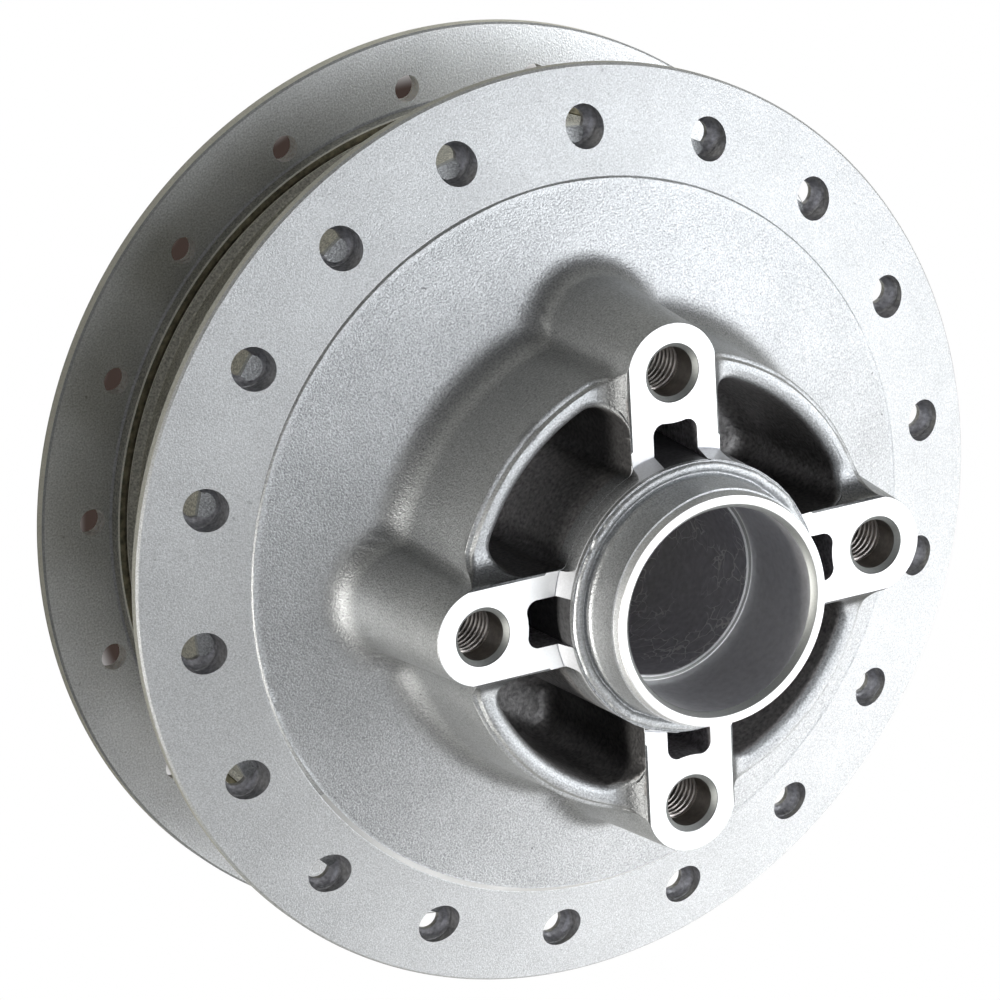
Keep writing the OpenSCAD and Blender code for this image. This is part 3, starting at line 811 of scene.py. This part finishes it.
def finish(name):
    look = finishes[name]
    material, shader = newMaterial(name)
    place = addNode(material, "TexCoord", {}).outputs["Object"]

    def noise(scale, detail):
        inputs = {"Scale": scale, "Detail": detail, "Vector": place}
        return addNode(material, "TexNoise", inputs).outputs["Fac"]

    def calculate(operation, *values):
        return addNode(material, "Math", dict(enumerate(values)), operation).outputs[0]

    def ramp(value, limits, first, last):
        # From first to last while the value runs between the limits
        inputs = {"Value": value, "From Min": limits[0], "From Max": limits[1],
                  "To Min": first, "To Max": last}
        return addNode(material, "MapRange", inputs).outputs[0]

    # Grain: fine noise lifts the surface and lightens or darkens it; mottle: the same, broad
    fine, broad = noise(look["grain"], 3.0), noise(noises["broad"], 4.0)
    both = calculate("MULTIPLY_ADD", broad, noises["broadShare"], fine)
    swing = noises["swing"] * look["mottle"]
    shade = ramp(both, noises["shadeRange"], 1 - swing, 1 + swing)
    if look.get("pits"):
        # Pits: where a coarse noise comes near its top, small dark specks
        speck = ramp(noise(noises["pit"], 1.0), noises["pitRange"], 1.0, 1 - look["pits"])
        shade = calculate("MULTIPLY", shade, speck)
    if look.get("paintedShaded"):
        # Painted shade: the share of the colour that the mesh carries at each point
        paintedShade = addNode(material, "Attribute", {})
        paintedShade.attribute_name = "paintedShade"
        shade = calculate("MULTIPLY", shade, paintedShade.outputs["Fac"])
    if look.get("crazing"):
        # Crazing: light lines on the borders of cells, only where a broad noise is high. The
        # places are pushed about by noise, so that the lines don't run straight
        bend = addNode(material, "TexNoise", {"Scale": noises["bend"], "Vector": place})
        inputs = {0: bend.outputs["Color"], 1: [noises["bendBy"]] * 3, 2: place}
        push = addNode(material, "VectorMath", inputs, "MULTIPLY_ADD").outputs[0]
        cells = addNode(material, "TexVoronoi", {"Scale": noises["cell"], "Vector": push})
        cells.feature = "DISTANCE_TO_EDGE"
        line = ramp(cells.outputs["Distance"], noises["lineRange"], look["crazing"], 0.0)
        patch = ramp(noise(noises["patch"], 2.0), noises["patchRange"], 0.0, 1.0)
        shade = calculate("MULTIPLY", shade, calculate("MULTIPLY_ADD", line, patch, 1.0))
    tint = addNode(material, "VectorMath", {0: look["colour"], "Scale": shade}, "SCALE")
    bump = addNode(material, "Bump", {
        "Strength": 1.0, "Distance": look["depth"] * mm, "Height": fine})
    links = material.node_tree.links
    links.new(tint.outputs[0], shader.inputs["Base Color"])
    links.new(bump.outputs[0], shader.inputs["Normal"])
    shader.inputs["Metallic"].default_value = look.get("metal", 1.0)
    shader.inputs["Roughness"].default_value = look["rough"]
    return material


materials = {name: finish(name) for name in finishes}


def sharpenBorders(mesh, chosen):
    # Edges where a machined face meets another finish are kept sharp, so that flat faces
    # shade flat
    edges, sides = np.empty(len(mesh.loops), np.int32), np.empty(len(mesh.polygons), np.int32)
    machined, sharp = np.empty(len(mesh.polygons), np.int32), np.empty(len(mesh.edges), bool)
    mesh.loops.foreach_get("edge_index", edges)
    mesh.polygons.foreach_get("loop_total", sides)
    mesh.polygons.foreach_get("material_index", machined)
    perLoop = np.repeat(np.isin(machined, chosen), sides).astype(np.int32)
    count = np.bincount(edges, perLoop, len(mesh.edges))
    mesh.edges.foreach_get("use_edge_sharp", sharp)
    mesh.edges.foreach_set("use_edge_sharp", sharp | (count == 1))


# Painted shade on the cast skin: the shares taken away, and the mm over which they fade
paintedShadeLook = {
    "flank": 0.68, "flankFade": 3.2, "saddleRise": 0.9, "saddleR": (27, 42),
    "foot": 0.26, "footRise": 0.7, "footFrom": 0.8, "footFade": 2.4,
    "corner": 0.30, "columnFade": 6, "cupFade": 3,
}
sharpAngle = 32  # degrees, from which an edge between faces isn't smoothed
pocketR = hub.cupR - hub.cupWall + 0.3  # just outside the pockets' walls


def within(values, low, high):
    return (values > low) & (values < high)


def castPaintedShade(x, y, z, up):
    # Painted shade: darker on the arms' flanks and on the saddles beside the pads
    look = SimpleNamespace(**paintedShadeLook)
    r, side = np.hypot(x, y), np.minimum(np.abs(x), np.abs(y))
    flank = 1 - smooth((side - hub.columnR - 0.3) / look.flankFade)
    flank = flank * ((r < pocketR) & (z < hub.padZ + 0.1))
    saddle = smooth((z - hub.rimZ - 0.3) / look.saddleRise) * smooth((up - 0.15) / 0.3)
    saddle = saddle * within(r, *look.saddleR)
    # Also a little painted shade in the foot's hollow and in the upright corners
    over = z - castZ(r)
    foot = smooth(over / look.footRise) * (1 - smooth((over - look.footFrom) / look.footFade))
    offColumn = np.hypot(np.maximum(np.abs(x), np.abs(y)) - hub.boltR, side) - hub.columnR
    offColumn = offColumn - (hub.padZ - z) * tangent(hub.columnDraft)
    offCup = r - hub.cupR - (hub.rimZ - z) * tangent(hub.cupDraft)
    corner = (1 - smooth(offColumn / look.columnFade)) * (1 - smooth(offCup / look.cupFade))
    corner = corner * ((offCup > -1.5) & (z < hub.rimZ + 0.7))
    paintedShade = 1 - look.flank * np.maximum(flank, saddle)
    return paintedShade * (1 - look.foot * foot * (r > hub.boltR)) * (1 - look.corner * corner)


def dress(piece, rules, paintedShade=None):
    # Gives each face the last finish whose rule holds for its centre and normal: z and r are
    # its height and radius in mm, up is 1 facing up, side is the distance from the nearest
    # arm's middle line and turn the angle about the axle in degrees
    mesh = piece.data
    x, y, z = readVectors(mesh.polygons, "center").T / mm
    faces = SimpleNamespace(z=z, r=np.hypot(x, y), up=readVectors(mesh.polygons, "normal")[:, 2],
                            side=np.minimum(np.abs(x), np.abs(y)),
                            turn=np.degrees(np.arctan2(y, x)) % 360)
    index = np.zeros(len(z), np.int32)
    mesh.materials.clear()
    for k, (name, rule) in enumerate(rules):
        mesh.materials.append(materials[name])
        index[rule(faces)] = k
    mesh.polygons.foreach_set("material_index", index)
    mesh.polygons.foreach_set("use_smooth", np.ones(len(z), bool))
    # Share of the colour kept under the painted shade at each point; 1 where the piece has none
    share = np.ones(len(mesh.vertices))
    if paintedShade:
        share = paintedShade(*readVectors(mesh.vertices, "co").T / mm,
                     readVectors(mesh.vertices, "normal")[:, 2])
    attribute = mesh.attributes.new("paintedShade", "FLOAT", "POINT")
    attribute.data.foreach_set("value", share.astype(np.float32))
    mesh.set_sharp_from_angle(angle=math.radians(sharpAngle))
    machined = ("milledFace", "facingFace")
    sharpenBorders(mesh, [k for k, (name, rule) in enumerate(rules) if name in machined])
    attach(piece, "root")
    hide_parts("hub")


def everywhere(f):
    return np.ones(len(f.z), bool)


def upright(f):
    return np.abs(f.up) < 0.3


window = windowSizes["halfWidth"] + 0.05
bearing = hub.seatR + 0.1
rim = spokeSizes["rimR"]

dress(casting, [
    ("castSkin", everywhere),
    # Pads, and a painted highlight along the ring's edge bevel at the lower left
    ("milledFace", lambda f: (np.abs(f.z - hub.padZ) < 0.05) & (f.up > 0.99)
        & (f.r > hub.facingR - 0.1)),
    ("milledFace", lambda f: within(f.r, hub.ringR - 1.1, hub.ringR + 0.05) & (f.z > 50)
        & within(f.up, 0.3, 0.89) & (np.abs(f.turn - 256) < 42)),
    # Pockets with their flanks up to the pads, the tube's shoulder, and the windows
    ("pocketSkin", lambda f: (f.z < hub.rimZ - 0.8) & within(f.r, 20, pocketR)),
    ("pocketSkin", lambda f: (f.z < hub.padZ - 0.2) & within(f.r, 20, pocketR)
        & (np.abs(f.up) < 0.4)),
    ("castSkin", lambda f: (f.z > 82) & within(f.r, 20, 23.6)),
    # Painted light: the windows' walls in a lighter copy of the pocket skin
    ("windowPaintedLight", lambda f: within(f.z, 55, 88) & within(f.r, 22, 31) & upright(f)
        & (f.side < window)),
    # Painted shade: the tube's wall high in the windows in a near-black copy of the cast skin
    ("flankPaintedShade", lambda f: within(f.z, 70, 87) & within(f.r, 22, 24.6) & upright(f)
        & (f.side < window)),
    # Turned parts of the tube
    # Painted light: the facing cone inside the pads in a lighter, half matte finish
    ("conePaintedLight", lambda f: within(f.z, hub.padZ - 0.3, hub.facingTopZ + 0.1)
        & within(f.r, hub.facingTopR - 0.1, hub.facingR + 0.1) & within(f.up, 0.2, 0.9)),
    ("turnedFace", lambda f: (f.z > hub.bandZ - 0.1) & (f.r < hub.bandFootR + 0.2)),
    ("milledFace", lambda f: (f.z > hub.endZ - 0.75) & (f.up > 0.3)),
    ("facingFace", lambda f: within(f.z, hub.endZ - 1.2, hub.endZ - 0.02) & (f.up > 0.3)
        & (f.r < 18.4)),
    ("boredWall", lambda f: (f.r < bearing) & (f.z < hub.endZ - 1.1)),
    ("deepBore", lambda f: (f.r < bearing) & (f.z < hub.seatZ - 0.1)),
    # The seat's ledge, darker in its middle
    ("milledFace", lambda f: (f.r < bearing) & (np.abs(f.z - hub.seatZ) < 0.25) & (f.up > 0.3)),
    ("facingFace", lambda f: within(f.r, 16.9, 17.3) & (np.abs(f.z - hub.seatZ) < 0.25)
        & (f.up > 0.3)),
], castPaintedShade)
dress(spokeFlange, [
    ("castSkin", everywhere),
    ("turnedFace", lambda f: (f.up > 0.5) | (f.r > rim - 0.7)),
    ("rimFace", lambda f: (f.r > rim - 0.2) & upright(f)),
    ("drilledWall", lambda f: (np.abs(f.r - hub.pitchR) < 3.9)
        & within(f.z, spokeSizes["under"] + 0.1, ringZ(f.r) - 0.02)),
])
dress(drumSide, [
    ("castSkin", everywhere),
    ("barrelSkin", lambda f: within(f.z, 7.6, 42.3) & within(f.r, 60, 70)),
    ("farFace", lambda f: within(f.z, 5.2, 8.2) & (f.r > 68.5) & (f.up > 0.5)),
    # Edge of the far flange, and the lip's end
    ("turnedFace", lambda f: (f.r > rim - 0.7) | ((f.z < 2.6) & (f.r > 55))),
    # Painted light: the far flange's outer edge near white
    ("paintedLightRim", lambda f: (f.r > rim - 0.2) & upright(f)),
    # Two painted highlight lines round the collar, with the rough band between them
    ("paintedLightRim", lambda f: within(f.r, 68.2, 68.6) & within(f.z, 10.2, 10.6) & (f.up > 0.1)),
    ("paintedLightRim", lambda f: within(f.r, 66.9, 67.2) & within(f.z, 10.75, 11.3)),
    ("roughBand", lambda f: within(f.z, 10.1, 10.75) & within(f.r, 66.5, 68.2)),
    ("brakeFace", lambda f: (np.abs(f.r - 55) < 0.4) & (f.z < 43)),
    ("boredWall", lambda f: f.r < bearing),
    ("deepBore", lambda f: f.r < hub.boreR + 0.3),
    # Painted light: the far holes' walls in a near-white matte finish
    ("farDrilledPaintedLight", lambda f: (np.abs(f.up) < 0.5) & (np.abs(f.r - drumSizes["circle"]) < 2.5)
        & within(f.z, 5, 7.7)),
])
for sleeve, ridge in threads:
    dress(sleeve, [
        ("threadWall", everywhere),
        ("facingFace", lambda f: (f.z > hub.padZ - 1.0) & (f.up > 0.3)),
    ])
    # Painted highlight: the ridge in a lighter copy of the hole's wall, for the thread's light
    # lines
    dress(ridge, [("threadRidgePaintedLight", everywhere)])
print("materials set")


# Studio: pale floor, black card and soft lamps; places and sizes in metres
floorLook = {
    "size": 8, "paint": (0.58, 0.56, 0.50, 1), "roughness": 0.9,
    # shade: colour of the painted shadow that the camera sees under the part
    "shade": (0.050, 0.035, 0.030, 1), "fade": (0.0695, 0.0760),
}
cardLook = {
    "at": (-0.285, -0.096, 0.039), "scale": (0.078, 0.5, 1),
    "tilt": 90, "turn": 18.6,  # degrees
    "paint": (0.02, 0.02, 0.02, 1), "roughness": 0.9,
}
lampAim = Vector((0, 0, 0.05))
roomLight = 0.11
lamps = [
    # name, position, size, power, colour
    ("low", (0.95, -0.15, 0.40), (0.9, 0.6), 2.9, (1.0, 1.0, 1.0)),
    ("high", (0.70, 0.20, 0.85), (0.8, 0.6), 6.3, (0.95, 0.975, 1.0)),
    ("corner", (0.70, -0.70, 0.38), (0.7, 0.5), 3.6, (1.0, 1.0, 1.0)),
    ("over", (0.52, -0.36, 0.98), (0.5, 0.5), 1.6, (0.95, 0.975, 1.0)),
    ("zenith", (0.10, 0.10, 1.25), (0.5, 0.5), 3.5, (0.95, 0.975, 1.0)),
    ("back", (0.15, -1.00, 0.60), (0.7, 0.6), 2.5, (1.0, 1.0, 1.0)),
    ("fill", (-0.95, -0.32, 0.15), (0.8, 0.2), 14.6, (1.0, 0.98, 0.93)),
    ("front", (-0.55, -0.10, 1.05), (0.4, 0.4), 0.35, (1.0, 1.0, 1.0)),
]


def makePlane(name, size, location, look):
    bpy.ops.mesh.primitive_plane_add(size=size, location=location)
    plane = bpy.context.object
    plane.name = name
    material, shader = newMaterial(name + "Paint")
    shader.inputs["Base Color"].default_value = look["paint"]
    shader.inputs["Roughness"].default_value = look["roughness"]
    plane.data.materials.append(material)
    return plane, material, shader


def makeStudio():
    # The camera sees plain white round the part, and under it a painted brown shadow that fades to
    # white before the flange's outline
    material, shader = makePlane("floor", floorLook["size"], (0, 0, 0), floorLook)[1:]
    links = material.node_tree.links
    place = addNode(material, "TexCoord", {}).outputs["Object"]
    distance = addNode(material, "VectorMath", {0: place}, "LENGTH").outputs["Value"]
    fade = addNode(material, "MapRange", {
        "Value": distance, "From Min": floorLook["fade"][0], "From Max": floorLook["fade"][1]})
    fade.interpolation_type = "SMOOTHSTEP"
    seen = addNode(material, "Mix", {})
    seen.data_type = "RGBA"
    seen.inputs["A"].default_value = floorLook["shade"]
    seen.inputs["B"].default_value = (1, 1, 1, 1)
    links.new(fade.outputs[0], seen.inputs["Factor"])
    glow = addNode(material, "Emission", {"Color": seen.outputs["Result"]})
    byCamera = addNode(material, "LightPath", {}).outputs["Is Camera Ray"]
    mix = addNode(material, "MixShader", {0: byCamera, 1: shader.outputs[0], 2: glow.outputs[0]})
    links.new(mix.outputs[0], material.node_tree.nodes["Material Output"].inputs[0])

    # A black card keeps the fill lamp's light off the drum, under the near flange
    card = makePlane("card", 1, cardLook["at"], cardLook)[0]
    card.scale = cardLook["scale"]
    card.rotation_euler = (0, math.radians(cardLook["tilt"]), math.radians(cardLook["turn"]))
    card.visible_camera = False

    world = bpy.data.worlds.new("studio")
    scene.world = world
    world.use_nodes = True
    background = world.node_tree.nodes["Background"]
    background.inputs["Color"].default_value = (1, 1, 1, 1)
    background.inputs["Strength"].default_value = roomLight

    for name, position, size, power, colour in lamps:
        data = bpy.data.lights.new(name, "AREA")
        data.shape = "RECTANGLE"
        data.size, data.size_y = size
        data.energy = power
        data.color = colour
        light = bpy.data.objects.new(name, data)
        scene.collection.objects.link(light)
        light.location = position
        light.rotation_mode = "QUATERNION"
        light.rotation_quaternion = (lampAim - Vector(position)).to_track_quat("-Z", "Y")


makeStudio()
scene.view_settings.view_transform = "Standard"
